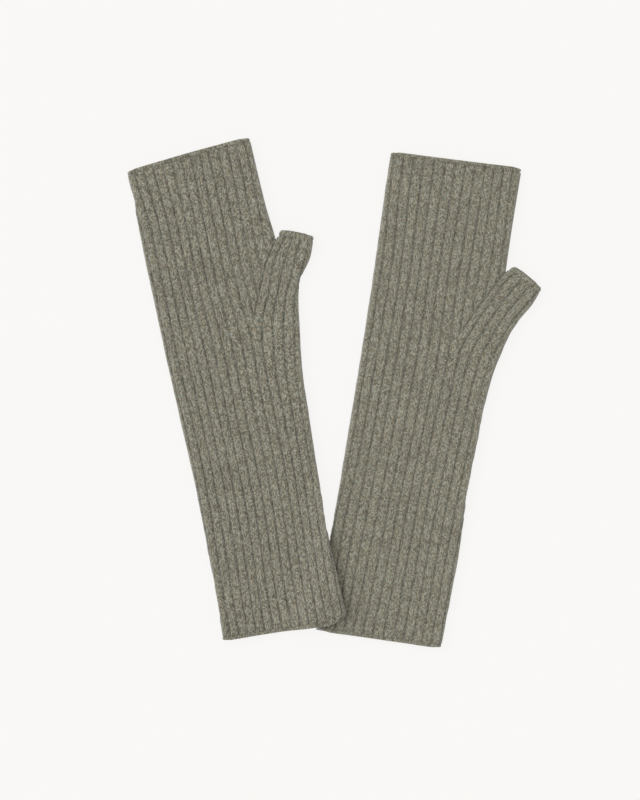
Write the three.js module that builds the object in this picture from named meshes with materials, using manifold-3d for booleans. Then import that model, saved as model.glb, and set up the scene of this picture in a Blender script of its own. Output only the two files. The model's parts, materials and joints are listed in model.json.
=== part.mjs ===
// A pair of long ribbed knitted fingerless gloves, lying flat and leaning apart in a V.
// Millimetres, +Z up, the floor at z = 0. The cuff corner of the top glove lies on the under glove.
// Each glove has its own flat coordinates: u across towards the thumb, v from the cuff to the fingers.
import * as THREE from 'three';
import { mergeVertices } from 'three/addons/utils/BufferGeometryUtils.js';
import Module from 'manifold-3d';

const wasm = await Module();
wasm.setup();

// Driving dimensions.
const THICK = 9.4; // one glove, floor to top, lying relaxed
const WIDTH = 90; // across the palm
const WALL = 2.1; // the knitted fabric
const GAP = 0.3; // between pieces that meet
const WRIST = 192; // the fold line across the wrist, above the cuff
const CUFF_BAND = 3.3;
const FINGER_BAND = 3.5;
const THUMB_BAND = 4.8;
const RAMP = 22; // how far out the top glove starts to rise over the under glove
const CLEAR = 0.5; // left between the top glove and the under glove
const SEAM_RADIUS = 0.85;
const SEAM_INSET = 3.4; // from the outline to the middle of a seam
const SEAM_BREAK = 1.5; // from the wrist's fold line to each half of the side seam
const SEAM_MARGIN = 2; // from the side seam's end to the finger band
const THUMB_SEAM = [0.3, 0.6, 0.9]; // the thumb seam's points, as shares of the way from crotch to mouth
const TACK_RADIUS = 0.7;
const TACK_CLEAR = 0.45; // from the tack to the edges of hand and thumb
const LABEL = { width: 9.3, length: 13, thick: 0.5, out: 1.6, inset: 2.7 };

// Fineness of the facets.
const ARC_STEPS = 6;
const CHORDS_PER_SPAN = 3;
const SEAM_SIDES = 8;
const SEAM_STEPS = 8;
const TACK_FACETS = [10, 8];
const SEAM_KNOTS = [0, 1 / 3, 2 / 3, 1];

// Room for the cutting prisms and the cores, well outside the gloves.
const WIDE = 150;
const OVERRUN = 12;
const FAR_BELOW = 30;
const FAR_ABOVE = 60;
const MOUTH_REACH = 20; // half the width of the strips cut across the thumb's mouth
const NOTCH_RISE = [3, 34]; // from the crotch to the top of the line that parts thumb and hand

const KNIT = { color: 0x807d6f, roughness: 0.95, metalness: 0 };
const SEAM_YARN = { color: 0x75725f, roughness: 0.95, metalness: 0 };
const SATIN = { color: 0xb8bcc2, roughness: 0.6, metalness: 0 };

// Outlines: left and right edges as [v, u] points; thumb chords as [inner u, v, outer u, v] from its root
// to its mouth; cuff and fingers as the v of the left and right ends of each opening.
const UNDER = {
  name: 'under',
  place: [28.77, -170.37],
  lean: -9.6,
  left: [[-20, -45.0], [0, -44.8], [85, -43.0], [130, -42.9], [215, -43.3], [305, -45.1], [350, -45.6]],
  right: [
    [-20, 46.0], [0, 46.1], [65, 47.4], [130, 47.3],
    [180, 48.2], [266, 47.3], [295, 46.2], [350, 45.4],
  ],
  thumb: [
    [24, 178, 46.3, 172],
    [28, 210, 51.8, 199],
    [33, 232, 55.8, 219],
    [40, 251, 62.3, 236],
    [46.6, 265.5, 69.0, 246.8],
    [53.0, 272.5, 73.6, 259.4],
  ],
  cuff: [-1.2, -0.4],
  fingers: [335.3, 339.8],
  crotch: [46.9, 266.3],
  foldEnd: [52.5, 206],
  spans: 14,
  flatSteps: 1,
  seamStart: 14,
};
const TOP = {
  name: 'top',
  place: [-34.38, -163.02],
  lean: 11.6,
  left: [[-20, -45.0], [0, -44.9], [80, -42.1], [150, -42.6], [240, -44.7], [315, -44.7], [350, -43.2]],
  right: [
    [-20, 43.2], [0, 43.0], [60, 42.6], [123, 44.6],
    [178, 47.5], [266, 47.4], [292, 45.3], [350, 43.5],
  ],
  thumb: [
    [24, 178, 45.8, 172],
    [28, 208, 50.8, 199],
    [34, 232, 53.8, 218],
    [40.5, 251, 58.9, 235],
    [47.1, 265.8, 68.9, 249.5],
    [52.3, 273.2, 74.5, 264.4],
  ],
  cuff: [-1.2, -5.6],
  fingers: [333.7, 339.6],
  crotch: [47.4, 266.2],
  foldEnd: [52.2, 207],
  spans: 22,
  flatSteps: 10,
  seamStart: 5,
};

// A smooth curve through a few [v, u] points, as a function of v.
function edge(points) {
  const last = points.length - 1;
  const slope = points.map((point, i) => {
    const before = points[Math.max(i - 1, 0)];
    const after = points[Math.min(i + 1, last)];
    return (after[1] - before[1]) / (after[0] - before[0]);
  });
  return (v) => {
    const next = points.findIndex((point) => point[0] > v);
    const i = next < 0 ? last - 1 : Math.max(next - 1, 0);
    const span = points[i + 1][0] - points[i][0];
    const t = THREE.MathUtils.clamp((v - points[i][0]) / span, 0, 1);
    const rise = (3 - 2 * t) * t * t;
    const out = t * (1 - t) * (1 - t) * span * slope[i];
    const back = t * t * (1 - t) * span * slope[i + 1];
    return points[i][1] * (1 - rise) + points[i + 1][1] * rise + out - back;
  };
}

for (const glove of [UNDER, TOP]) {
  glove.leftAt = edge(glove.left);
  glove.rightAt = edge(glove.right);
  glove.matrix = new THREE.Matrix4()
    .makeRotationZ(THREE.MathUtils.degToRad(glove.lean))
    .setPosition(glove.place[0], glove.place[1], 0);
}

// How far a point of the top glove is raised where it lies on the under glove.
const toUnder = UNDER.matrix.clone().invert().multiply(TOP.matrix);
function liftAt(glove, u, v) {
  if (glove === UNDER) return 0;
  const p = new THREE.Vector3(u, v, 0).applyMatrix4(toUnder);
  const inside = p.x - UNDER.leftAt(p.y);
  return (THICK + CLEAR) * THREE.MathUtils.smoothstep(inside, -RAMP, 0);
}

// One flattened ring of fabric, upright on the chord from a to b, shrunk inwards by inset.
function ring(glove, a, b, inset, flatSteps = 1) {
  const along = new THREE.Vector2().subVectors(b, a);
  const length = along.length();
  along.normalize();
  const radius = THICK / 2 - inset;
  const points = [];
  const put = (distance, height) => {
    const u = a.x + along.x * distance;
    const v = a.y + along.y * distance;
    points.push(new THREE.Vector3(u, v, height + liftAt(glove, u, v)));
  };
  for (const [centre, start] of [[length - THICK / 2, -Math.PI / 2], [THICK / 2, Math.PI / 2]]) {
    for (let i = 0; i <= ARC_STEPS; i++) {
      const angle = start + (Math.PI * i) / ARC_STEPS;
      put(centre + radius * Math.cos(angle), THICK / 2 + radius * Math.sin(angle));
    }
    const way = Math.sin(start) < 0 ? -1 : 1;
    const run = length - THICK;
    for (let i = 1; i < flatSteps; i++) {
      put(centre + (way * run * i) / flatSteps, THICK / 2 - way * radius);
    }
  }
  return points;
}

// A closed skin over rings of equal length, with a fan over each end.
function loft(rings) {
  const size = rings[0].length;
  const ends = [rings[0], rings[rings.length - 1]].map((points) =>
    points.reduce((sum, p) => sum.add(p), new THREE.Vector3()).divideScalar(size));
  const points = [...rings.flat(), ...ends];
  const first = points.length - 2;
  const top = (rings.length - 1) * size;
  const faces = [];
  for (let j = 0; j < size; j++) {
    const k = (j + 1) % size;
    for (let row = 0; row < top; row += size) {
      faces.push(row + j, row + size + k, row + k);
      faces.push(row + j, row + size + j, row + size + k);
    }
    faces.push(first, j, k);
    faces.push(first + 1, top + k, top + j);
  }
  const geometry = new THREE.BufferGeometry().setFromPoints(points);
  geometry.setIndex(faces);
  return geometry;
}

function toSolid(geometry) {
  const bare = geometry.clone();
  bare.deleteAttribute('normal');
  bare.deleteAttribute('uv');
  const merged = mergeVertices(bare);
  const mesh = new wasm.Mesh({
    numProp: 3,
    vertProperties: new Float32Array(merged.attributes.position.array),
    triVerts: new Uint32Array(merged.index.array),
  });
  return new wasm.Manifold(mesh);
}

function toGeometry(solid) {
  const mesh = solid.getMesh();
  const geometry = new THREE.BufferGeometry();
  geometry.setAttribute('position', new THREE.BufferAttribute(mesh.vertProperties, 3));
  geometry.setIndex(new THREE.BufferAttribute(mesh.triVerts, 1));
  geometry.computeVertexNormals();
  return geometry;
}

// An upright prism over an outline of [u, v] points, for cutting.
function prism(outline) {
  const shape = new THREE.Shape(outline.map(([u, v]) => new THREE.Vector2(u, v)));
  const depth = FAR_BELOW + FAR_ABOVE;
  const geometry = new THREE.ExtrudeGeometry(shape, { depth, bevelEnabled: false });
  return toSolid(geometry.translate(0, 0, -FAR_BELOW));
}

// The prism between two lines across the glove, each given by its v at the left and right edges.
function slab(low, high) {
  const at = ([left, right], u) => (left + right) / 2 + ((right - left) * u) / WIDTH;
  return prism([
    [-WIDE, at(low, -WIDE)],
    [WIDE, at(low, WIDE)],
    [WIDE, at(high, WIDE)],
    [-WIDE, at(high, -WIDE)],
  ]);
}

// The hand and forearm as one flattened tube; over is how far it runs past both ends.
function bodySkin(glove, inset, over) {
  const rings = [];
  for (let i = 0; i <= glove.spans; i++) {
    const share = i / glove.spans;
    const [left, right] = glove.fingers.map((end, side) =>
      THREE.MathUtils.lerp(glove.cuff[side] - over, end + over, share));
    const a = new THREE.Vector2(glove.leftAt(left), left);
    const b = new THREE.Vector2(glove.rightAt(right), right);
    rings.push(ring(glove, a, b, inset, glove.flatSteps));
  }
  return toSolid(loft(rings));
}

// The gusset and thumb, a flattened tube that bends away from the hand.
function thumbSkin(glove, inset, over) {
  const inner = new THREE.SplineCurve(glove.thumb.map(([u, v]) => new THREE.Vector2(u, v)));
  const outer = new THREE.SplineCurve(glove.thumb.map(([, , u, v]) => new THREE.Vector2(u, v)));
  const count = (glove.thumb.length - 1) * CHORDS_PER_SPAN;
  const rings = [];
  for (let i = 0; i <= count; i++) {
    rings.push(ring(glove, inner.getPoint(i / count), outer.getPoint(i / count), inset));
  }
  if (over > 0) {
    const past = thumbAxis(glove).multiplyScalar(over);
    const ends = [inner.getPoint(1), outer.getPoint(1)].map((p) => p.add(past));
    rings.push(ring(glove, ends[0], ends[1], inset));
  }
  return toSolid(loft(rings));
}

// The direction out of the thumb's mouth, square to it.
function thumbAxis(glove) {
  const [iu, iv, ou, ov] = glove.thumb[glove.thumb.length - 1];
  return new THREE.Vector2(iv - ov, ou - iu).normalize();
}

// Everything on the thumb's side of its fold line, which is moved by shift towards the thumb.
function thumbSide(glove, shift) {
  const [cu, cv] = glove.crotch;
  const [fu, fv] = glove.foldEnd;
  const down = (cv - WRIST) / (cv - fv);
  const low = [cu + (fu - cu) * down + shift, WRIST];
  const high = [cu + NOTCH_RISE[0] + shift, cv + NOTCH_RISE[1]];
  return prism([low, [WIDE, WRIST], [WIDE, high[1]], high, [cu + shift, cv]]);
}

// The strip across the thumb between two depths below its mouth.
function mouthStrip(glove, from, to) {
  const [iu, iv, ou, ov] = glove.thumb[glove.thumb.length - 1];
  const axis = thumbAxis(glove);
  const side = new THREE.Vector2(ou - iu, ov - iv).normalize();
  const middle = new THREE.Vector2((iu + ou) / 2, (iv + ov) / 2);
  const corner = (across, up) => [
    middle.x + side.x * across + axis.x * up,
    middle.y + side.y * across + axis.y * up,
  ];
  return prism([
    corner(-MOUTH_REACH, -from),
    corner(MOUTH_REACH, -from),
    corner(MOUTH_REACH, -to),
    corner(-MOUTH_REACH, -to),
  ]);
}

// The tubes and edge bands of one glove, by node name.
function knitPieces(glove) {
  const outer = bodySkin(glove, 0, 0).add(thumbSkin(glove, 0, 0));
  const hollow = bodySkin(glove, WALL, OVERRUN).add(thumbSkin(glove, WALL, OVERRUN));
  const shell = outer.subtract(hollow);
  const up = (height) => glove.cuff.map((v) => v + height);
  const down = (depth) => glove.fingers.map((v) => v - depth);
  const wrist = (shift) => [WRIST + shift, WRIST + shift];
  const hand = shell.intersect(slab(wrist(GAP / 2), down(FINGER_BAND + GAP)));
  const thumbHalf = shell.intersect(thumbSide(glove, GAP / 2));
  return {
    cuff_edge: shell.intersect(slab(up(-OVERRUN), up(CUFF_BAND))),
    forearm_tube: shell.intersect(slab(up(CUFF_BAND + GAP), wrist(-GAP / 2))),
    hand_tube: hand.subtract(thumbSide(glove, -GAP / 2)),
    finger_edge: shell.intersect(slab(down(FINGER_BAND), down(-OVERRUN))),
    thumb_tube: thumbHalf.subtract(mouthStrip(glove, THUMB_BAND + GAP, -OVERRUN)),
    thumb_edge: thumbHalf.intersect(mouthStrip(glove, THUMB_BAND, -OVERRUN)),
  };
}

// A round linked seam through points in the glove's coordinates.
function seam(points) {
  const path = new THREE.CatmullRomCurve3(points);
  const section = new THREE.Shape();
  for (let i = 0; i <= SEAM_SIDES; i++) {
    const angle = (2 * Math.PI * i) / SEAM_SIDES;
    const at = [SEAM_RADIUS * Math.cos(angle), SEAM_RADIUS * Math.sin(angle)];
    if (i === 0) section.moveTo(...at);
    else section.lineTo(...at);
  }
  return new THREE.ExtrudeGeometry(section, { steps: SEAM_STEPS, extrudePath: path });
}

// The seam inside the fold on the little finger's side, between two heights.
function sideSeam(glove, from, to) {
  const heights = SEAM_KNOTS.map((share) => THREE.MathUtils.lerp(from, to, share));
  return seam(heights.map((v) => new THREE.Vector3(glove.leftAt(v) + SEAM_INSET, v, THICK / 2)));
}

// The short seam inside the thumb, along its edge nearest the hand.
function thumbSeam(glove) {
  const [crotch, mouth] = glove.thumb.slice(-2).map(([u, v]) => new THREE.Vector2(u, v));
  const into = new THREE.Vector2(thumbAxis(glove).y, -thumbAxis(glove).x).multiplyScalar(SEAM_INSET);
  const at = THUMB_SEAM.map((share) => crotch.clone().lerp(mouth, share).add(into));
  return seam(at.map((p) => new THREE.Vector3(p.x, p.y, THICK / 2)));
}

// The closing stitches in the notch between hand and thumb, clear of both.
function crotchTack(glove) {
  const [crotch, mouth] = glove.thumb.slice(-2).map(([u, v]) => new THREE.Vector2(u, v));
  const half = mouth.sub(crotch).angleTo(new THREE.Vector2(0, 1)) / 2;
  const reach = (TACK_RADIUS + TACK_CLEAR) / Math.sin(half);
  const u = glove.crotch[0] + reach * Math.sin(half);
  const v = glove.crotch[1] + reach * Math.cos(half);
  return new THREE.SphereGeometry(TACK_RADIUS, ...TACK_FACETS).translate(u, v, THICK / 2);
}

// A blank woven label, sewn in at the foot of the side seam, its end just outside the cuff.
function careLabel(glove) {
  const geometry = new THREE.BoxGeometry(LABEL.width, LABEL.length, LABEL.thick);
  const u = glove.leftAt(0) + LABEL.inset + LABEL.width / 2;
  return geometry.translate(u, glove.cuff[0] + LABEL.length / 2 - LABEL.out, THICK / 2);
}

function addGlove(pair, glove, extras) {
  const group = new THREE.Group();
  group.position.set(glove.place[0], glove.place[1], 0);
  group.rotation.z = THREE.MathUtils.degToRad(glove.lean);
  const add = (name, geometry, finish) => {
    const mesh = new THREE.Mesh(geometry, new THREE.MeshStandardMaterial(finish));
    mesh.name = `${glove.name}_${name}`;
    group.add(mesh);
  };
  for (const [name, solid] of Object.entries(knitPieces(glove))) add(name, toGeometry(solid), KNIT);
  const seamEnd = glove.fingers[0] - FINGER_BAND - SEAM_MARGIN;
  add('side_seam_forearm', sideSeam(glove, glove.seamStart, WRIST - SEAM_BREAK), SEAM_YARN);
  add('side_seam_hand', sideSeam(glove, WRIST + SEAM_BREAK, seamEnd), SEAM_YARN);
  add('thumb_seam', thumbSeam(glove), SEAM_YARN);
  add('crotch_tack', crotchTack(glove), SEAM_YARN);
  extras(add);
  pair.add(group);
}

const gloves = new THREE.Group();
addGlove(gloves, UNDER, (add) => add('care_label', careLabel(UNDER), SATIN));
addGlove(gloves, TOP, () => {});

export default gloves;
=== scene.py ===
# A pair of long ribbed fingerless gloves, lying flat on a pale floor and seen from straight above.
import json
import math

import bpy
import numpy as np
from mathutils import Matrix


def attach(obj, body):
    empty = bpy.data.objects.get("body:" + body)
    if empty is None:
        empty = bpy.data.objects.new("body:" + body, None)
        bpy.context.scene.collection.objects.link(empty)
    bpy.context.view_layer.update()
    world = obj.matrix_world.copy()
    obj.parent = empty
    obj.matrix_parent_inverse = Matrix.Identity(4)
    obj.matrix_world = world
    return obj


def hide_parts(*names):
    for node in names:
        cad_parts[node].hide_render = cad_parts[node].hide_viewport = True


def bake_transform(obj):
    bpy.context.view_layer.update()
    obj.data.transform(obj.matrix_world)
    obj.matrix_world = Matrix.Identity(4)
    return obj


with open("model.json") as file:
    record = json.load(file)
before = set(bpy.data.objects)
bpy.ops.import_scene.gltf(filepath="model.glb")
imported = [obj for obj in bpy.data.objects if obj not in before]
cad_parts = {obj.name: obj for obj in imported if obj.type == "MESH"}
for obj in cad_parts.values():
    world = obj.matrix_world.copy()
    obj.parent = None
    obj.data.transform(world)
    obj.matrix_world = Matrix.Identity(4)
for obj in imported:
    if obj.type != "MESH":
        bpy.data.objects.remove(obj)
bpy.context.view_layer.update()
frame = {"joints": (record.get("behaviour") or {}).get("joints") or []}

# Shapes are worked out in millimetres in each glove's flat frame: u across towards the thumb, v from the
# cuff to the fingers, z up. They become metres in the row frame when a mesh is made.
MM = 0.001

# The CAD's driving dimensions, and where the linked seams run.
THICK = 9.4
WALL = 2.1
WRIST = 192.0
CUFF_BAND = 3.3
FINGER_BAND = 3.5
THUMB_BAND = 4.8
RAMP = 22.0
CLEAR = 0.5
SEAM_RADIUS = 0.85
SEAM_INSET = 3.4
SEAM_START = 9.0
SEAM_MARGIN = 2
THUMB_SEAM_START = 0.3
THUMB_SEAM_SHARE = 0.6
LABEL_WIDTH = 9.3
LABEL_LENGTH = 13.0
LABEL_THICK = 0.5
LABEL_OUT = 1.6
LABEL_INSET = 2.7
CUFF_LEFT = -1.2

# The knit: ribs round the glove, and the stitches in a rib.
RIBS_ROUND = 27
WALES = 5
COURSE = 1.05
RIB_WIDTH = 6.4
GROOVE_DEPTH = 1.05
GROOVE_HALF = 0.2
CROWN = 0.16
UNEVEN = 0.1
CREASE = 0.9
CREASE_WIDTH = 0.8
CREASE_FADE_IN = 8
CREASE_FADE_OUT = 4
RIB_WAVE = 0.04
GROOVE_TREMBLE = 0.02
GROOVE_WIDTH_SPREAD = 0.15
GROOVE_DEPTH_SPREAD = 0.2
THUMB_FIRST_RIB = 9.5
THUMB_RIB_SHIFT = 0.4
THUMB_SHIFT_LENGTH = 15
END_FADE = 1.5

# The folds, the slack of the upper face, and the shapes of the edges.
FOLD_REACH = 4.7
FOLD_POWER = 2.5
SAG = 0.6
SAG_REACH = 22
SAG_SPREAD = 0.35
CORNER = 2.3
TURN_SHARE = 0.14
VALLEY = 0.36
THUMB_LENGTH = 60.0
BLEND_START = WRIST - 1.0
BLEND_END = WRIST + 14.0

# The edge bands: a crease sets them off and gets painted shade, a chain of stitches runs along them, and
# ribs flatten in them.
BAND_RIBS = 0.2
BAND_CREASE = 0.5
BAND_CREASE_AT = 0.8
BAND_CREASE_WIDTH = 0.6
BAND_CREASE_SHADE = 0.6
CHAIN_RELIEF = 0.12

# The linked seams' stitches, the tack's yarn, and the label's curl and weave.
STITCH_LENGTH = 2.1
STITCH_STEP = 0.35
STITCH_WAIST = 0.72
CORD_SIDES = 8
TACK_TURNS = 3
TACK_POINTS = 60
TACK_LOOP = (0.5, 0.35)
TACK_RISE = 1.1
TACK_YARN = 0.3
LABEL_GRID = (27, 19)
LABEL_CURL = 0.5
LABEL_CURL_LENGTH = 4
LABEL_BOW = 0.25
LABEL_WEAVE = 0.03

# How finely the fabric is sampled, and the shares of its faces that its folds take up.
ROLL_SHARE = 0.07
THUMB_ROLL_SHARE = 0.2
ACROSS = 216
ACROSS_THUMB = 84
ROW_STEP = 1.5
INNER_STEP = 8.0
PROBE = 0.4

CAMERA_HEIGHT = 1.8
VIEW_HEIGHT = 0.56
VIEW_CENTRE = (-0.01046, -0.00497)


# ---------------------------------------------------------------- curves and noise

def smooth(points):
    """A smooth curve through a few (position, value) points, as a function of position."""
    x, y = np.array(points, float).T
    slope = np.empty_like(y)
    slope[1:-1] = (y[2:] - y[:-2]) / (x[2:] - x[:-2])
    slope[0] = (y[1] - y[0]) / (x[1] - x[0])
    slope[-1] = (y[-1] - y[-2]) / (x[-1] - x[-2])

    def at(position):
        position = np.asarray(position, float)
        i = np.clip(np.searchsorted(x, position) - 1, 0, len(x) - 2)
        span = x[i + 1] - x[i]
        t = np.clip((position - x[i]) / span, 0, 1)
        rise = (3 - 2 * t) * t * t
        leave = t * (1 - t) ** 2 * span * slope[i]
        arrive = t * t * (1 - t) * span * slope[i + 1]
        return y[i] * (1 - rise) + y[i + 1] * rise + leave - arrive

    return at


def step(low, high, x):
    t = np.clip((x - low) / (high - low), 0, 1)
    return t * t * (3 - 2 * t)


def ripple(seed, width, terms=7):
    """Gentle seeded unevenness in two directions, about -1 to 1, with features about a width across."""
    rng = np.random.default_rng(seed)
    angle = rng.uniform(0, 2 * math.pi, terms)
    rate = rng.uniform(0.5, 1.6, terms) * math.pi / width
    phase = rng.uniform(0, 2 * math.pi, terms)

    def at(x, y):
        waves = [np.sin(k * (x * math.cos(a) + y * math.sin(a)) + p) for a, k, p in zip(angle, rate, phase)]
        return sum(waves) / math.sqrt(terms)

    return at


def shares(count, roll):
    """Shares from 0 to 1 across a face, closer together within a roll of the folds at both ends."""
    x = np.linspace(0, 1, count + 1)
    x = np.where(x < roll, roll * (x / roll) ** 2, x)
    return np.where(x > 1 - roll, 1 - roll * ((1 - x) / roll) ** 2, x)


def between(x, knots, values):
    """Piecewise linear values at x, along the last axis, that run on straight beyond the end knots."""
    found = 0
    for i in range(len(knots) - 1):
        t = (x - knots[i]) / (knots[i + 1] - knots[i])
        low = -np.inf if i == 0 else 0
        high = np.inf if i == len(knots) - 2 else 1
        found = found + (values[i + 1] - values[i]) * (np.clip(t, low, high))
    return values[0] + found


# ---------------------------------------------------------------- the two gloves

class Glove:
    """One glove's outlines, and its place in the row frame, which comes from its wrist joint."""

    def __init__(self, name, seed, left, side, palm, fork, crease, outer, cuff, turned, fingers, crotch,
                 definition, ribs, hand_ribs, thumb_ribs):
        self.name = name
        self.seed = seed
        self.left = smooth(left)
        self.side = smooth(side)
        self.palm = smooth(palm)
        self.fork = fork
        self.crotch = crotch
        self.mouth = crease[-1][0]
        self.crease = smooth(crease)
        outer = [(float(self.side(fork)), fork)] + outer
        knots = np.linspace(0, THUMB_LENGTH, len(outer))
        self.outer_u = smooth([(k, u) for k, (u, v) in zip(knots, outer)])
        self.outer_v = smooth([(k, v) for k, (u, v) in zip(knots, outer)])
        self.cuff = cuff
        self.turned = turned
        self.fingers = fingers
        self.definition = definition
        self.ribs = {k: smooth(line) for k, line in ribs.items()}
        self.hand_ribs = {k: smooth(line) for k, line in hand_ribs.items()}
        self.thumb_ribs = {k: smooth(line) for k, line in thumb_ribs.items()}
        self.wrist_fold = self.joint("wrist_fold")
        self.thumb_fold = self.joint("thumb_fold")
        self.across = self.wrist_fold[1]
        self.along = np.array([-self.across[1], self.across[0]])
        self.origin = self.wrist_fold[0] / MM - WRIST * self.along
        self.wave = ripple(seed, 60.0)
        self.bump = ripple(seed + 1, 38.0)
        self.slack = ripple(seed + 2, 9.0)
        self.tremble = ripple(seed + 3, 2.6)

    def joint(self, kind):
        """The place and direction of one of the glove's folds, seen from above, in metres."""
        joint = next(j for j in frame["joints"] if j["name"] == f"{self.name}_{kind}")
        axis = np.array(joint["axis"][:2])
        return np.array(joint["pos_m"][:2]), axis / np.linalg.norm(axis)

    def cuff_line(self, f):
        """The v of the cuff's edge at a share across; either end can be drawn back up the arm."""
        left, right, bow = self.cuff
        up_left = self.turned[0] * (1 - step(0, TURN_SHARE, f))
        up_right = self.turned[1] * step(1 - TURN_SHARE, 1, f)
        return left + (right - left) * f + bow * 4 * f * (1 - f) + up_left + up_right

    def finger_line(self, f):
        left, right, bow = self.fingers
        return left + (right - left) * f + bow * 4 * f * (1 - f)

    def flat(self, u, v):
        """Row-frame X and Y of a point of the glove, in millimetres."""
        x = self.origin[0] + u * self.across[0] + v * self.along[0]
        y = self.origin[1] + u * self.across[1] + v * self.along[1]
        return x, y


# ribs, hand_ribs and thumb_ribs say where some of the numbered grooves run: across the forearm, across the
# hand instead of that where it differs, and as shares of the thumb's width along the thumb.
UNDER = Glove(
    "under", 11,
    left=[(-20, -45.0), (0, -44.8), (85, -43.0), (130, -42.9), (215, -43.5), (305, -45.6), (350, -46.6)],
    side=[(-20, 46.0), (0, 46.4), (30, 47.2), (65, 47.9), (95, 47.3), (130, 47.6), (160, 48.0), (176, 48.7),
          (189, 49.9), (202, 51.9), (216, 55.2)],
    palm=[(200, 48.0), (266, 47.2), (295, 46.5), (350, 46.2)],
    fork=215.0,
    crease=[(215, 21.6), (225.5, 25.9), (235.5, 30.5), (249, 37.3), (258, 42.0), (266.3, 46.9),
            (272.5, 52.8)],
    outer=[(58.6, 227.2), (63.5, 237.4), (69.2, 247), (74.4, 260.0)],
    cuff=(-3.3, -1.0, 0.0), turned=(1.7, 0.0), fingers=(336.6, 340.4, 0.0), crotch=266.3, definition=1.0,
    ribs={
        1: [(0, -42.5), (70, -42.0), (110, -40.2), (150, -39.4), (225, -39.0), (270, -39.8), (300, -42.0),
            (340, -44.0)],
        7: [(0, -2.4), (50, -0.7), (90, 0.1), (150, 2.3), (205, 2.8), (255, 1.4), (300, 0.4), (340, -0.4)],
        9: [(0, 12.4), (60, 12.9), (90, 13.6), (150, 15.4), (205, 17.2), (235, 15.8), (285, 14.8),
            (340, 13.2)],
        10: [(0, 19.0), (90, 20.2), (150, 22.2), (190, 23.8), (205, 24.8), (216, 27.6)],
        13: [(0, 38.5), (80, 39.6), (150, 42.2), (170, 42.9), (190, 44.8), (205, 47.4), (216, 51.0)],
    },
    hand_ribs={
        10: [(200, 23.0), (235, 22.2), (285, 21.4), (340, 20.4)],
        13: [(200, 42.6), (235, 41.8), (285, 42.1), (315, 40.6), (340, 39.9)],
    },
    thumb_ribs={
        10: [(0, 0.18), (15, 0.176), (30, 0.18), (45, 0.15), (60, 0.19)],
        13: [(0, 0.883), (15, 0.88), (30, 0.87), (45, 0.885), (60, 0.93)],
    },
)
TOP = Glove(
    "top", 29,
    left=[(-20, -46.4), (0, -45.9), (25, -44.8), (50, -44.0), (80, -43.0), (105, -42.7), (150, -43.5),
          (200, -44.6), (240, -45.0), (300, -45.3), (350, -45.3)],
    side=[(-20, 43.2), (0, 43.0), (60, 42.6), (123, 44.6), (152, 46.1), (172, 47.3), (190, 49.6),
          (212, 52.9)],
    palm=[(200, 47.3), (266, 47.4), (292, 45.3), (350, 43.5)],
    fork=211.0,
    crease=[(211, 21.3), (217, 22.2), (223, 24.3), (231, 28.0), (240, 32.0), (249.5, 36.4), (258.6, 42.3),
            (266.2, 47.4), (273.2, 52.2)],
    outer=[(55.0, 224), (59.6, 236.4), (68.6, 249.4), (74.4, 263.8)],
    cuff=(-1.9, -6.0, 0.2), turned=(0.0, 4.6), fingers=(334.4, 340.6, 0.7), crotch=266.2, definition=1.15,
    ribs={
        1: [(-6, -39.6), (30, -38.4), (90, -35.4), (150, -34.9), (205, -36.2), (270, -36.4), (300, -37.3),
            (328, -39.8), (340, -40.4)],
        7: [(-6, -2.8), (30, -1.7), (70, 1.2), (90, 2.2), (150, 2.2), (200, 2.4), (245, 0.8), (340, 0.8)],
        9: [(-6, 10.1), (30, 11.3), (70, 13.8), (110, 14.8), (170, 15.6), (205, 16.6), (225, 14.8),
            (245, 13.8), (300, 14.1), (340, 13.8)],
        10: [(-6, 16.3), (30, 17.4), (70, 19.8), (110, 21.2), (170, 22.1), (190, 23.0), (205, 25.2),
             (212, 27.0)],
        13: [(-6, 34.8), (30, 35.1), (70, 37.2), (110, 39.8), (150, 41.5), (172, 42.8), (190, 45.6),
             (212, 49.2)],
    },
    hand_ribs={
        10: [(200, 22.0), (225, 21.2), (250, 20.1), (300, 20.6), (340, 21.0)],
        13: [(200, 41.0), (255, 39.6), (300, 40.2), (340, 39.7)],
    },
    thumb_ribs={
        10: [(0, 0.17), (15, 0.24), (30, 0.22), (45, 0.18), (60, 0.2)],
        13: [(0, 0.888), (15, 0.92), (30, 0.98), (45, 0.88), (60, 0.89)],
    },
)


def lift_at(glove, u, v):
    """How far a point of the top glove is raised where it lies on the under glove."""
    if glove is UNDER:
        return np.zeros_like(u)
    x, y = glove.flat(u, v)
    x = x - UNDER.origin[0]
    y = y - UNDER.origin[1]
    under_u = x * UNDER.across[0] + y * UNDER.across[1]
    under_v = x * UNDER.along[0] + y * UNDER.along[1]
    return (THICK + CLEAR) * step(-RAMP, 0, under_u - UNDER.left(under_v))


# ---------------------------------------------------------------- the fabric's surface

def fold(distance):
    """How far the surface is from the middle height, as a share, at a distance in from a fold."""
    t = np.clip(distance / FOLD_REACH, 0, 1)
    return (1 - (1 - t) ** FOLD_POWER) ** (1 / FOLD_POWER)


def round_corner(distance):
    """How far the outline is drawn in near an opening's edge, which rounds its corners."""
    t = np.clip(distance / CORNER, 0, 1)
    return CORNER * (1 - np.sqrt(1 - (1 - t) ** 2))


def no_corner(distance):
    return 0 * distance


def height(glove, u, v, inside, face, crease=0.0):
    """The height of the fabric's outer face, inside a fold; the upper face sags and waves a little."""
    half = np.maximum(THICK / 2 * fold(inside) - crease, 0)
    drop = step(0, SAG_REACH, inside) * (SAG + SAG_SPREAD * glove.bump(u, v))
    return np.where(face > 0, THICK / 2 + half - drop, THICK / 2 - half)


def both_faces(upper, lower):
    """Values for a closed row: across the upper face, then back across the lower one."""
    return np.concatenate([upper, lower[:, -2:0:-1]], 1)


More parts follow.
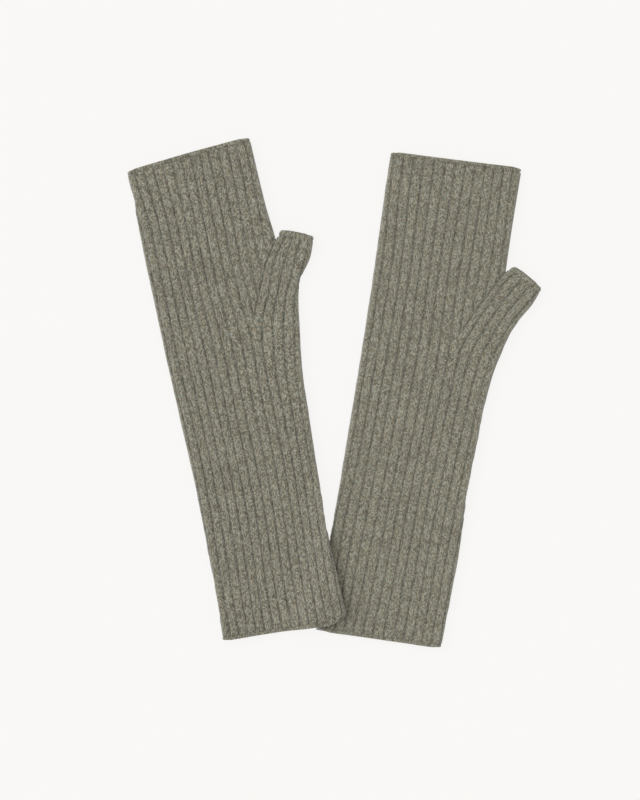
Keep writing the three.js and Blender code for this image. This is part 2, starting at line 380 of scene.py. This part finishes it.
def round_folds(u, v, z, middle):
    """How much further the fabric runs round the folds than flat across, from the upper face's middle."""
    flat = np.hypot(np.diff(u, axis=1), np.diff(v, axis=1))
    more = np.cumsum(np.hypot(flat, np.diff(z, axis=1)) - flat, axis=1)
    more = np.concatenate([np.zeros_like(more[:, :1]), more], 1)
    return more - more[:, middle:middle + 1]


def tube(glove, line, right, draw_in, ribs):
    """The surface of a closed tube as a function of row position: its points, their rib coordinate and
    distance along the knit, their distance from an open end of the row, how deep in the crease by the
    thumb they are, and how much further round the folds. line gives v for a row and a share across, right
    the right outline, draw_in how far a row's ends are drawn in, and ribs the grooves."""
    across = shares(ACROSS, ROLL_SHARE)

    def at(s):
        s = np.asarray(s, float)[:, None]
        v_left, v_right = line(s, 0.0), line(s, 1.0)
        left = glove.left(v_left)
        edge = right(v_right)
        pull = draw_in(s) / (edge - left)
        v = line(s, across)
        u = left + (edge - left) * across
        r = between(u, [groove(v) for groove in ribs.values()], list(ribs))
        first, last = r[:, :1], r[:, -1:]
        r = both_faces(r, first + RIBS_ROUND + (last - first - RIBS_ROUND) * across)
        u = left + (edge - left) * (pull + (1 - 2 * pull) * across)
        inside = both_faces(*[np.minimum(u - u[:, :1], u[:, -1:] - u)] * 2)
        u, v = both_faces(u, u), both_faces(v, v)
        face = np.where(np.arange(u.shape[1]) < len(across), 1, -1)
        z = height(glove, u, v, inside, face)
        further = round_folds(u, v, z, ACROSS // 2)
        return np.stack([u, v, z], -1), r, v, np.full_like(u, np.inf), 0 * u, further

    return at


def crease_share(glove, v, distance):
    """How deep in the crease between hand and thumb a point is, at a distance from its middle line."""
    along = step(0, CREASE_FADE_IN, v - glove.fork) * (1 - step(-CREASE_FADE_OUT, 0, v - glove.crotch))
    return along * np.exp(-((distance / CREASE_WIDTH) ** 2))


def hand_strip(glove, line):
    """The surface of the hand: a strip that is open along the crease and meets itself above the crotch."""
    across = shares(ACROSS, ROLL_SHARE)
    ribs = glove.ribs | glove.hand_ribs

    def at(s):
        s = np.asarray(s, float)[:, None]
        v_left, v_right = line(s, 0.0), line(s, 1.0)
        left = glove.left(v_left)
        edge = np.where(v_right < glove.crotch, glove.crease(v_right), glove.palm(v_right))
        u = left + (edge - left) * across
        v = line(s, across)
        r = between(u, [groove(v) for groove in ribs.values()], list(ribs))
        back = 2 * r[:, :1] - r
        u, v, r = (np.concatenate([b[:, :0:-1], a], 1) for a, b in ((u, u), (v, v), (r, back)))
        face = np.where(np.arange(u.shape[1]) < len(across) - 1, -1, 1)
        valley = VALLEY * np.clip(glove.crotch - v_right, 0, None)
        crease = crease_share(glove, v_right, edge - u)
        z = height(glove, u, v, np.minimum(u - left, edge - u + valley), face, CREASE * crease)
        further = round_folds(u, v, z, ACROSS + ACROSS // 2)
        return np.stack([u, v, z], -1), r, v, edge - u, crease, further

    return at


def thumb_strip(glove, draw_in):
    """The surface of gusset and thumb: a strip open along the crease that meets itself above the crotch."""
    across = shares(ACROSS_THUMB, THUMB_ROLL_SHARE)
    ten, thirteen = glove.thumb_ribs[10], glove.thumb_ribs[13]

    def at(s):
        s = np.asarray(s, float)[:, None]
        v_in = glove.fork + (glove.mouth - glove.fork) * s / THUMB_LENGTH
        u_in = glove.crease(v_in)
        u_out, v_out = glove.outer_u(s), glove.outer_v(s)
        wide = np.hypot(u_out - u_in, v_out - v_in)
        pull = draw_in(s) / wide
        inner = THUMB_FIRST_RIB - THUMB_RIB_SHIFT * step(0, THUMB_SHIFT_LENGTH, s)
        r = between(across, [0.0, ten(s), thirteen(s)], [inner, 10, 13])
        r = np.concatenate([r, 2 * r[:, -1:] - r[:, -2::-1]], 1)
        share = np.concatenate([across, across[-2::-1]])
        face = np.where(np.arange(len(share)) < len(across), 1, -1)
        q = pull + (1 - 2 * pull) * share
        u = u_in + (u_out - u_in) * q
        v = v_in + (v_out - v_in) * q
        valley = VALLEY * np.clip(glove.crotch - v_in, 0, None)
        from_crease = (q - pull) * wide
        inside = np.minimum(from_crease + valley, (1 - pull - q) * wide)
        crease = crease_share(glove, v_in, from_crease)
        z = height(glove, u, v, inside, face, CREASE * crease)
        further = round_folds(u, v, z, ACROSS_THUMB // 2)
        return np.stack([u, v, z], -1), r, glove.fork + s + 0 * q, from_crease, crease, further

    return at


def outward(surface, s, closed):
    """Outward unit normals of a surface, by small steps along it and between its neighbouring columns."""
    ahead = surface(s + PROBE)[0] - surface(s - PROBE)[0]
    here = surface(s)[0]
    if closed:
        across = np.roll(here, -1, 1) - np.roll(here, 1, 1)
    else:
        across = np.gradient(here, axis=1)
    normal = np.cross(across, ahead)
    return normal / np.maximum(np.linalg.norm(normal, axis=-1, keepdims=True), 1e-9)


def rib_relief(glove, r, c):
    """How far the ribs stand back from the surface, and how deep in a groove each point is, from 0 to 1,
    which also sets the painted shade there.
    """
    across = r + RIB_WAVE * glove.wave(r * RIB_WIDTH * 2, c)
    nearest = np.round(across)
    across = across + GROOVE_TREMBLE * glove.tremble(nearest * 53.0, c)
    off = np.abs(across - nearest)
    half = GROOVE_HALF * (1 + GROOVE_WIDTH_SPREAD * glove.slack(nearest * 31.0, c))
    groove = 1 - step(0.0, 1.0, off / half)
    spread = GROOVE_DEPTH_SPREAD * glove.slack(nearest * 17.0, c + 400)
    depth = glove.definition * GROOVE_DEPTH * (1 + spread)
    crown = CROWN * (1 - step(0.1, 0.5, off))
    uneven = UNEVEN * glove.slack(r * RIB_WIDTH, c)
    return uneven - (groove * depth + (1 - groove) * crown), groove


def lay(glove, surface, s, depth, closed, relief):
    """Rows of fabric at positions s, each sunk by its depth, with the relief on those near the outside, and
    for each point its place across and along the knit and how deep in a groove or the crease by the thumb
    it is, which sets the painted shade there."""
    points, r, c, from_end, crease, further = surface(s)
    normal = outward(surface, s, closed)
    ribs, groove = relief(r, c)
    show = (1 - np.clip(depth / WALL, 0, 1)[:, None]) * step(0, END_FADE, from_end)
    points = points + normal * (ribs * show - depth[:, None])[..., None]
    points[..., 2] = np.maximum(points[..., 2], 0.02)
    points[..., 2] += lift_at(glove, points[..., 0], points[..., 1])
    # The third value is the mask of painted shade: down in the grooves, and in the crease by the thumb.
    return points, (r * RIB_WIDTH + further, c, np.maximum(groove * show, crease))


# ---------------------------------------------------------------- meshes

def grid_faces(rows, columns, closed):
    """Quads of a grid whose rows close on themselves, as its columns do if it is closed."""
    row = np.arange(rows)[:, None]
    column = np.arange(columns if closed else columns - 1)[None, :]
    next_row = (row + 1) % rows
    next_column = (column + 1) % columns
    quads = np.stack([row * columns + column, row * columns + next_column,
                      next_row * columns + next_column, next_row * columns + column], -1)
    return [tuple(q) for q in quads.reshape(-1, 4).tolist()]


def end_cap(outer, inner, columns, column, flip):
    """Triangles that close an open end column, between the outer rows and the fewer inner ones."""
    up = [(s, j * columns + column) for j, s in enumerate(outer)]
    down = [(s, (len(outer) + j) * columns + column) for j, s in enumerate(inner)][::-1]
    faces = []
    i = j = 0
    while i < len(up) - 1 or j < len(down) - 1:
        if j == len(down) - 1 or (i < len(up) - 1 and up[i + 1][0] <= down[j + 1][0]):
            faces.append((up[i][1], up[i + 1][1], down[j][1]))
            i += 1
        else:
            faces.append((up[i][1], down[j + 1][1], down[j][1]))
            j += 1
    return [f[::-1] for f in faces] if flip else faces


def mark_sharp(mesh, lines):
    """Keeps the shading crisp along lines of vertices where the fabric's face turns into its cut edge."""
    label = np.zeros(len(mesh.vertices), int)
    for number, vertices in enumerate(lines):
        label[vertices] = number + 1
    ends = np.empty(len(mesh.edges) * 2, np.int32)
    mesh.edges.foreach_get("vertices", ends)
    a, b = label[ends.reshape(-1, 2)].T
    sharp = mesh.attributes.new("sharp_edge", "BOOLEAN", "EDGE")
    sharp.data.foreach_set("value", (a > 0) & (a == b))


def make_object(name, glove, points, faces, material, knit=None, sharp=()):
    """An object from vertices in a glove's millimetres; knit holds its places in the knit and the mask of
    painted shade in its grooves and creases.
    """
    x, y = glove.flat(points[:, 0], points[:, 1])
    mesh = bpy.data.meshes.new(name)
    mesh.from_pydata((np.stack([x, y, points[:, 2]], 1) * MM).tolist(), [], faces)
    mesh.polygons.foreach_set("use_smooth", np.ones(len(mesh.polygons), bool))
    if knit is not None:
        across, along, groove = (k.ravel() for k in knit)
        values = np.stack([across, along, np.full_like(across, glove.seed * 10.0)], 1)
        mesh.attributes.new("knit", "FLOAT_VECTOR", "POINT").data.foreach_set(
            "vector", values.astype(np.float32).ravel())
        # The groove attribute is the mask of painted shade that the knit material reads.
        mesh.attributes.new("groove", "FLOAT", "POINT").data.foreach_set("value", groove.astype(np.float32))
    mark_sharp(mesh, sharp)
    mesh.update()
    obj = bpy.data.objects.new(name, mesh)
    bpy.context.scene.collection.objects.link(obj)
    mesh.materials.append(material)
    return obj


def knit_piece(name, glove, surface, outer, inner, closed):
    """A closed piece of knitted fabric: its outer rows, then its inner rows back again."""
    s = np.concatenate([outer, inner])
    depth = np.concatenate([np.zeros(len(outer)), np.full(len(inner), WALL)])
    points, knit = lay(glove, surface, s, depth, closed, lambda r, c: rib_relief(glove, r, c))
    rows, columns = points.shape[:2]
    faces = grid_faces(rows, columns, closed)
    ids = np.arange(rows * columns).reshape(rows, columns)
    sharp = [ids[0], ids[-1], ids[len(outer) - 1], ids[len(outer)]]
    if not closed:
        faces += end_cap(outer, inner, columns, 0, False)
        faces += end_cap(outer, inner, columns, columns - 1, True)
        sharp += [ids[:, 0], ids[:, -1]]
    return make_object(name, glove, points.reshape(-1, 3), faces, KNIT, knit, sharp)


def rows_between(low, high, extra=()):
    """Positions of the outer rows from low to high, and of the sparser inner rows from high to low."""
    found = []
    for spacing in (ROW_STEP, INNER_STEP):
        rows = np.linspace(low, high, round((high - low) / spacing) + 1)
        found.append(np.unique(np.concatenate([rows, extra])))
    return found[0], found[1][::-1]


# ---------------------------------------------------------------- the knitted pieces of a glove

def forearm_knit(glove):
    def line(s, f):
        cuff = glove.cuff_line(f) + CUFF_BAND
        return cuff + (glove.fork - cuff) * s / glove.fork

    surface = tube(glove, line, glove.side, no_corner, glove.ribs)
    outer, inner = rows_between(0, glove.fork)
    return knit_piece(f"{glove.name}_forearm_knit", glove, surface, outer, inner, True)


def hand_knit(glove):
    length = glove.fingers[1] - FINGER_BAND - glove.fork

    def line(s, f):
        return glove.fork + (glove.finger_line(f) - FINGER_BAND - glove.fork) * s / length

    crotch = glove.crotch - glove.fork
    outer, inner = rows_between(0, length, [crotch - 0.3, crotch])
    return knit_piece(f"{glove.name}_hand_knit", glove, hand_strip(glove, line), outer, inner, False)


def thumb_knit(glove):
    crotch = THUMB_LENGTH * (glove.crotch - glove.fork) / (glove.mouth - glove.fork)
    outer, inner = rows_between(0, THUMB_LENGTH - THUMB_BAND, [crotch - 0.3, crotch])
    surface = thumb_strip(glove, no_corner)
    return knit_piece(f"{glove.name}_thumb_knit", glove, surface, outer, inner, False)


def band(name, glove, surface, width, edge, inward):
    """A bound-off edge: a closed ring of fabric round an opening, over its lip and back inside. The opening
    is at row position edge, and inward is 1 or -1 by whether the fabric's rows run up or down from there.
    The ribs flatten into the band, a crease with painted shade sets it off, and a chain of stitches runs
    along it."""
    radius = WALL / 2
    angle = np.linspace(0, math.pi, 9)
    out = np.linspace(width, radius, 6)[:-1]
    back = np.linspace(radius, width, 4)[1:]
    distance = np.concatenate([out, radius * (1 - np.sin(angle)), back])
    depth = np.concatenate([np.zeros(len(out)), radius * (1 - np.cos(angle)), np.full(len(back), WALL)])
    from_edge = distance[:, None]
    keep = BAND_RIBS + (1 - BAND_RIBS) * step(0.6 * width, width, from_edge)
    crease = np.exp(-(((from_edge - BAND_CREASE_AT * width) / BAND_CREASE_WIDTH) ** 2))

    def relief(r, c):
        ribs, groove = rib_relief(glove, r, c)
        chain = CHAIN_RELIEF * np.cos(2 * math.pi * WALES * r) * (1 - step(0.2, 0.6 * width, from_edge))
        # Painted shade: down in the grooves where the ribs still show, and along the band's crease.
        shade = np.maximum(groove * keep, BAND_CREASE_SHADE * crease)
        return ribs * keep - BAND_CREASE * crease + chain, shade

    points, (across, along, groove) = lay(glove, surface, edge + inward * distance, depth, True, relief)
    run = np.concatenate([[0], np.cumsum(np.hypot(np.diff(distance), np.diff(depth)))])
    knit = (across, along[:1] - inward * run[:, None], groove)
    rows, columns = points.shape[:2]
    faces = grid_faces(rows, columns, True)
    if inward > 0:
        faces = [f[::-1] for f in faces]
    ids = np.arange(rows * columns).reshape(rows, columns)
    return make_object(name, glove, points.reshape(-1, 3), faces, KNIT, knit, [ids[0], ids[-1]])


def cuff_band(glove):
    surface = tube(glove, lambda s, f: glove.cuff_line(f) + s, glove.side, round_corner, glove.ribs)
    return band(f"{glove.name}_cuff_band", glove, surface, CUFF_BAND, 0.0, 1)


def finger_band(glove):
    surface = tube(glove, lambda s, f: glove.finger_line(f) + s, glove.palm, lambda s: round_corner(-s),
                   glove.ribs | glove.hand_ribs)
    return band(f"{glove.name}_finger_band", glove, surface, FINGER_BAND, 0.0, -1)


def thumb_band(glove):
    strip = thumb_strip(glove, lambda s: round_corner(THUMB_LENGTH - s))

    def closed(s):
        points, r, c, from_end, crease, further = (part[:, :-1] for part in strip(s))
        return points, r, c, np.full_like(c, np.inf), 0 * crease, further

    return band(f"{glove.name}_thumb_band", glove, closed, THUMB_BAND, THUMB_LENGTH, -1)


# ---------------------------------------------------------------- seams, tack and label

def cord_piece(name, glove, path, radius, sides, material):
    """A closed round cord through points, with a radius for each."""
    path = np.asarray(path, float)
    ahead = np.gradient(path, axis=0)
    ahead /= np.linalg.norm(ahead, axis=1, keepdims=True)
    aside = np.cross(ahead, [0.31, 0.17, 0.93])
    aside /= np.linalg.norm(aside, axis=1, keepdims=True)
    other = np.cross(ahead, aside)
    turn = np.linspace(0, 2 * math.pi, sides, endpoint=False)[None, :, None]
    radius = np.asarray(radius, float)[:, None, None]
    points = path[:, None] + radius * (np.cos(turn) * aside[:, None] + np.sin(turn) * other[:, None])
    rings = len(path)
    faces = [(j * sides + i, j * sides + (i + 1) % sides, (j + 1) * sides + (i + 1) % sides,
              (j + 1) * sides + i) for j in range(rings - 1) for i in range(sides)]
    faces += [tuple(range(sides))[::-1], tuple((rings - 1) * sides + i for i in range(sides))]
    points = points.reshape(-1, 3)
    points[:, 2] += lift_at(glove, points[:, 0], points[:, 1])
    return make_object(name, glove, points, faces, material)


def linked(length):
    """Positions along a linked seam, and its radius there, which swells at each stitch."""
    at = np.linspace(0, length, round(length / STITCH_STEP) + 1)
    swell = np.abs(np.sin(math.pi * at / STITCH_LENGTH))
    return at, SEAM_RADIUS * (STITCH_WAIST + (1 - STITCH_WAIST) * swell)


def side_seam(glove):
    low, high = SEAM_START, glove.fingers[0] - FINGER_BAND - SEAM_MARGIN
    at, radius = linked(high - low)
    v = low + at
    path = np.stack([glove.left(v) + SEAM_INSET, v, np.full_like(v, THICK / 2)], 1)
    return cord_piece(f"{glove.name}_side_link", glove, path, radius, CORD_SIDES,
                      SEAM_YARN)


def thumb_seam(glove):
    crotch = np.array([float(glove.crease(glove.crotch)), glove.crotch])
    mouth = np.array([float(glove.crease(glove.mouth)), glove.mouth])
    along = (mouth - crotch) / np.linalg.norm(mouth - crotch)
    into = np.array([along[1], -along[0]]) * SEAM_INSET
    at, radius = linked(THUMB_SEAM_SHARE * np.linalg.norm(mouth - crotch))
    start = crotch + THUMB_SEAM_START * (mouth - crotch) + into
    path = [(*(start + a * along), THICK / 2) for a in at]
    return cord_piece(f"{glove.name}_thumb_link", glove, path, radius, CORD_SIDES,
                      SEAM_YARN)


def crotch_tack(glove):
    """A few turns of yarn that hold the foot of the notch between thumb and hand."""
    u = float(glove.crease(glove.crotch))
    turn = np.linspace(0, 2 * TACK_TURNS * math.pi, TACK_POINTS)
    wide, long = TACK_LOOP
    path = np.stack([u + wide * np.cos(turn), glove.crotch + 0.1 + long * np.sin(turn),
                     THICK / 2 + np.linspace(-TACK_RISE, TACK_RISE, len(turn))], 1)
    return cord_piece(f"{glove.name}_fork_tack", glove, path, np.full(len(turn), TACK_YARN), CORD_SIDES,
                      SEAM_YARN)


def care_label(glove):
    """A blank woven label inside the cuff, its free end curling a little."""
    rows, columns = LABEL_GRID
    across = np.linspace(0, LABEL_WIDTH, columns)
    along = np.linspace(0, LABEL_LENGTH, rows)
    u0 = float(glove.left(0)) + LABEL_INSET
    v0 = CUFF_LEFT - LABEL_OUT
    x, y = np.meshgrid(across, along)
    curl = LABEL_CURL * np.clip(1 - y / LABEL_CURL_LENGTH, 0, 1) ** 2
    curl = curl + LABEL_BOW * np.sin(math.pi * x / LABEL_WIDTH)
    weave = LABEL_WEAVE * np.cos(math.pi * (np.arange(rows)[:, None] + np.arange(columns)[None, :]))
    faces, levels = [], []
    for number, side in enumerate((1, -1)):
        z = THICK / 2 + curl + side * LABEL_THICK / 2 + weave
        levels.append(np.stack([u0 + x, v0 + y, z], -1).reshape(-1, 3))
        ids = np.arange(rows * columns).reshape(rows, columns) + number * rows * columns
        quads = np.stack([ids[:-1, :-1], ids[:-1, 1:], ids[1:, 1:], ids[1:, :-1]], -1)
        quads = quads.reshape(-1, 4).tolist()
        faces += [tuple(q) if side > 0 else tuple(q)[::-1] for q in quads]
    ids = np.arange(rows * columns).reshape(rows, columns)
    rim = np.concatenate([ids[0], ids[1:, -1], ids[-1, -2::-1], ids[-2:0:-1, 0]]).tolist()
    under = [i + rows * columns for i in rim]
    count = len(rim)
    faces += [(under[i], under[(i + 1) % count], rim[(i + 1) % count], rim[i]) for i in range(count)]
    points = np.concatenate(levels)
    return make_object(f"{glove.name}_label", glove, points, faces, LABEL, None,
                       [rim, under])


# ---------------------------------------------------------------- materials

def srgb(*levels):
    """A display colour, from 0 to 255, as the linear colour that materials take."""
    return tuple(c / 12.92 if c <= 0.04045 else ((c + 0.055) / 1.055) ** 2.4
                 for c in (level / 255 for level in levels)) + (1.0,)


class Nodes:
    """A short way to build a material's node tree."""

    def __init__(self, name):
        self.material = bpy.data.materials.new(name)
        self.material.use_nodes = True
        self.tree = self.material.node_tree
        self.tree.nodes.clear()

    def add(self, kind, inputs=(), **settings):
        node = self.tree.nodes.new(kind)
        for key, value in settings.items():
            setattr(node, key, value)
        for key, value in dict(inputs).items():
            if isinstance(value, bpy.types.NodeSocket):
                self.tree.links.new(value, node.inputs[key])
            else:
                node.inputs[key].default_value = value
        return node

    def math(self, operation, a, b=None, c=None):
        inputs = {i: v for i, v in enumerate((a, b, c)) if v is not None}
        return self.add("ShaderNodeMath", inputs, operation=operation).outputs[0]

    def scaled(self, vector, by):
        node = self.add("ShaderNodeVectorMath", {0: vector, 1: by}, operation="MULTIPLY")
        return node.outputs[0]

    def noise(self, vector, scale, detail):
        node = self.add("ShaderNodeTexNoise", {"Vector": vector, "Scale": scale, "Detail": detail})
        return node.outputs["Fac"]

    def multiply(self, a, b):
        node = self.add("ShaderNodeMix", {0: 1.0, 6: a, 7: b}, data_type="RGBA", blend_type="MULTIPLY")
        return node.outputs[2]

    def ramp(self, value, stops):
        node = self.add("ShaderNodeValToRGB", {0: value})
        elements = node.color_ramp.elements
        while len(elements) < len(stops):
            elements.new(0.5)
        for element, (position, colour) in zip(elements, stops):
            element.position = position
            element.color = colour
        return node.outputs[0]

    def finish(self, inputs):
        surface = self.add("ShaderNodeBsdfPrincipled", inputs)
        self.add("ShaderNodeOutputMaterial", {"Surface": surface.outputs[0]})
        return self.material


def stitch_cells(nodes, knit):
    """Rows of V-shaped stitches in the fabric's own coordinates: their relief, and a random value from 0 to
    1 for each leg of each stitch."""
    split = nodes.add("ShaderNodeSeparateXYZ", {0: knit})
    wale = nodes.math("DIVIDE", split.outputs[0], RIB_WIDTH / WALES)
    leg = nodes.math("ABSOLUTE", nodes.math("SUBTRACT", nodes.math("FRACT", wale), 0.5))
    round_leg = nodes.math("SINE", nodes.math("MULTIPLY", leg, 2 * math.pi))
    course = nodes.math("ADD", nodes.math("DIVIDE", split.outputs[1], COURSE), leg)
    loop = nodes.math("SINE", nodes.math("MULTIPLY", course, 2 * math.pi))
    loop = nodes.math("MULTIPLY_ADD", loop, 0.22, 0.78)
    side = nodes.math("FLOOR", nodes.math("MULTIPLY", wale, 2.0))
    row = nodes.math("FLOOR", nodes.math("ADD", course, 0.25))
    cell = nodes.add("ShaderNodeCombineXYZ", {0: side, 1: row, 2: split.outputs[2]}).outputs[0]
    chance = nodes.add("ShaderNodeTexWhiteNoise", {0: cell}, noise_dimensions="3D").outputs["Value"]
    return nodes.math("MULTIPLY", round_leg, loop), chance


def knit_material():
    """Melange yarn: stitches of several greys, olives and browns, with painted shade down in the grooves
    and creases.
    """
    nodes = Nodes("melange_knit")
    knit = nodes.add("ShaderNodeAttribute", attribute_name="knit").outputs["Vector"]
    groove = nodes.add("ShaderNodeAttribute", attribute_name="groove").outputs["Fac"]
    relief, chance = stitch_cells(nodes, knit)
    speck = nodes.noise(nodes.scaled(knit, (2.0, 1.3, 1.0)), 1.0, 3.0)
    fibre = nodes.noise(nodes.scaled(knit, (3.2, 2.2, 1.0)), 1.0, 2.0)
    patch = nodes.noise(nodes.scaled(knit, (0.045, 0.05, 1.0)), 1.0, 2.0)
    streak = nodes.noise(nodes.scaled(knit, (0.8, 0.03, 1.3)), 1.0, 1.0)
    tone = nodes.math("MULTIPLY_ADD", chance, 0.5, nodes.math("MULTIPLY", speck, 0.6))
    tone = nodes.math("MULTIPLY_ADD", fibre, 0.75, tone)
    tone = nodes.math("SUBTRACT", tone, 0.425)
    colour = nodes.ramp(tone, [
        (0.22, srgb(88, 87, 79)),
        (0.38, srgb(124, 117, 98)),
        (0.50, srgb(148, 143, 126)),
        (0.62, srgb(157, 157, 145)),
        (0.80, srgb(200, 196, 180)),
    ])
    hue = nodes.noise(nodes.scaled(knit, (1.1, 0.9, 1.7)), 1.0, 1.0)
    tint = nodes.ramp(hue, [
        (0.34, srgb(255, 239, 216)),
        (0.50, srgb(255, 254, 251)),
        (0.66, srgb(228, 247, 255)),
    ])
    colour = nodes.multiply(colour, tint)
    shade = nodes.math("MULTIPLY_ADD", patch, 0.2, 0.775)
    shade = nodes.math("MULTIPLY_ADD", streak, 0.14, shade)
    # Painted shade: the groove attribute darkens the colour down in the grooves and along the creases.
    shade = nodes.math("MULTIPLY", shade, nodes.math("MULTIPLY_ADD", groove, -0.33, 1.0))
    grey = nodes.add("ShaderNodeCombineColor", {0: shade, 1: shade, 2: shade}).outputs[0]
    colour = nodes.multiply(colour, grey)
    fuzz = nodes.noise(nodes.scaled(knit, (3.1, 3.1, 3.1)), 1.0, 3.0)
    bumps = nodes.math("MULTIPLY_ADD", fuzz, 0.5, relief)
    bump = nodes.add("ShaderNodeBump", {"Height": bumps, "Strength": 0.6, "Distance": 0.0004})
    return nodes.finish({
        "Base Color": colour, "Roughness": 0.95, "Specular IOR Level": 0.2, "Normal": bump.outputs[0],
        "Sheen Weight": 0.5, "Sheen Roughness": 0.5,
    })


def yarn_material():
    nodes = Nodes("seam_yarn")
    place = nodes.add("ShaderNodeTexCoord").outputs["Object"]
    twist = nodes.noise(nodes.scaled(place, (1800.0, 1800.0, 1800.0)), 1.0, 2.0)
    colour = nodes.ramp(twist, [(0.3, srgb(98, 94, 80)), (0.7, srgb(142, 138, 122))])
    bump = nodes.add("ShaderNodeBump", {"Height": twist, "Strength": 0.5, "Distance": 0.0003})
    return nodes.finish({"Base Color": colour, "Roughness": 0.95, "Normal": bump.outputs[0]})


def label_material():
    nodes = Nodes("woven_label")
    place = nodes.add("ShaderNodeTexCoord").outputs["Object"]
    threads = nodes.noise(nodes.scaled(place, (500.0, 3500.0, 500.0)), 1.0, 1.0)
    colour = nodes.ramp(threads, [(0.3, srgb(172, 176, 182)), (0.7, srgb(196, 200, 206))])
    bump = nodes.add("ShaderNodeBump", {"Height": threads, "Strength": 0.4, "Distance": 0.0001})
    return nodes.finish({"Base Color": colour, "Roughness": 0.55, "Normal": bump.outputs[0]})


def floor_material():
    """A pale floor so evenly lit that hardly any shadow shows on it."""
    nodes = Nodes("floor")
    speck = nodes.noise(nodes.add("ShaderNodeTexCoord").outputs["Object"], 3.0, 1.0)
    colour = nodes.ramp(speck, [(0.0, (0.08, 0.08, 0.0785, 1)), (1.0, (0.084, 0.084, 0.0825, 1))])
    return nodes.finish({
        "Base Color": colour, "Roughness": 1.0, "Specular IOR Level": 0.0,
        "Emission Color": srgb(249, 248, 246), "Emission Strength": 0.919,
    })


KNIT = knit_material()
SEAM_YARN = yarn_material()
LABEL = label_material()


# ---------------------------------------------------------------- putting each glove on its bodies

def metres(glove, u, v):
    x, y = glove.flat(u, v)
    return (float(x) * MM, float(y) * MM, THICK * MM)


def bend_at_wrist(obj, glove):
    metres(glove, 0, BLEND_START)
    metres(glove, 0, BLEND_END)
    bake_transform(obj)


def bend_at_thumb(obj, glove):
    """Bakes the piece's place into its mesh; the side of the thumb's fold line that the thumb lies on is
    worked out but not used.
    """
    place, axis = glove.thumb_fold
    out = np.array([-axis[1], axis[0]])
    if out @ glove.across < 0:
        out = -out
    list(place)
    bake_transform(obj)


def add_glove(glove):
    name = glove.name
    forearm, hand, thumb = forearm_knit(glove), hand_knit(glove), thumb_knit(glove)
    cuff, fingers, mouth = cuff_band(glove), finger_band(glove), thumb_band(glove)
    seam, short_seam, tack = side_seam(glove), thumb_seam(glove), crotch_tack(glove)
    bend_at_wrist(forearm, glove)
    bend_at_wrist(seam, glove)
    bend_at_thumb(thumb, glove)
    bend_at_thumb(short_seam, glove)
    bend_at_thumb(mouth, glove)
    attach(cuff, f"{name}_forearm")
    for obj in (hand, fingers, tack):
        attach(obj, f"{name}_hand")
    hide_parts(f"{name}_forearm_tube")
    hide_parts(f"{name}_hand_tube")
    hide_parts(f"{name}_thumb_tube")
    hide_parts(f"{name}_cuff_edge")
    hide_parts(f"{name}_finger_edge")
    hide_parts(f"{name}_thumb_edge")
    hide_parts(f"{name}_side_seam_forearm", f"{name}_side_seam_hand")
    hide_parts(f"{name}_thumb_seam")
    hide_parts(f"{name}_crotch_tack")
    if glove is UNDER:
        label = care_label(glove)
        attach(label, f"{name}_forearm")
        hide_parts(f"{name}_care_label")


def add_floor():
    bpy.ops.mesh.primitive_plane_add(size=6.0, location=(0, 0, -0.0005))
    plane = bpy.context.object
    plane.name = "floor"
    plane.data.materials.append(floor_material())


def add_lights():
    world = bpy.data.worlds.new("even_daylight")
    world.use_nodes = True
    world.node_tree.nodes["Background"].inputs[0].default_value = (1.0, 1.0, 1.0, 1.0)
    world.node_tree.nodes["Background"].inputs[1].default_value = 0.6
    bpy.context.scene.world = world
    sun = bpy.data.lights.new("soft_window", "SUN")
    sun.energy = 1.25
    sun.angle = math.radians(50)
    obj = bpy.data.objects.new("soft_window", sun)
    obj.rotation_euler = (math.radians(-8), math.radians(-30), 0)
    bpy.context.scene.collection.objects.link(obj)


def add_camera():
    camera = bpy.data.cameras.new("from_above")
    camera.sensor_fit = "VERTICAL"
    camera.sensor_height = 24.0
    camera.lens = camera.sensor_height * CAMERA_HEIGHT / VIEW_HEIGHT
    obj = bpy.data.objects.new("from_above", camera)
    obj.location = (*VIEW_CENTRE, CAMERA_HEIGHT + THICK * MM)
    bpy.context.scene.collection.objects.link(obj)
    bpy.context.scene.camera = obj


add_glove(UNDER)
add_glove(TOP)
add_floor()
add_lights()
add_camera()
bpy.context.scene.view_settings.view_transform = "Standard"
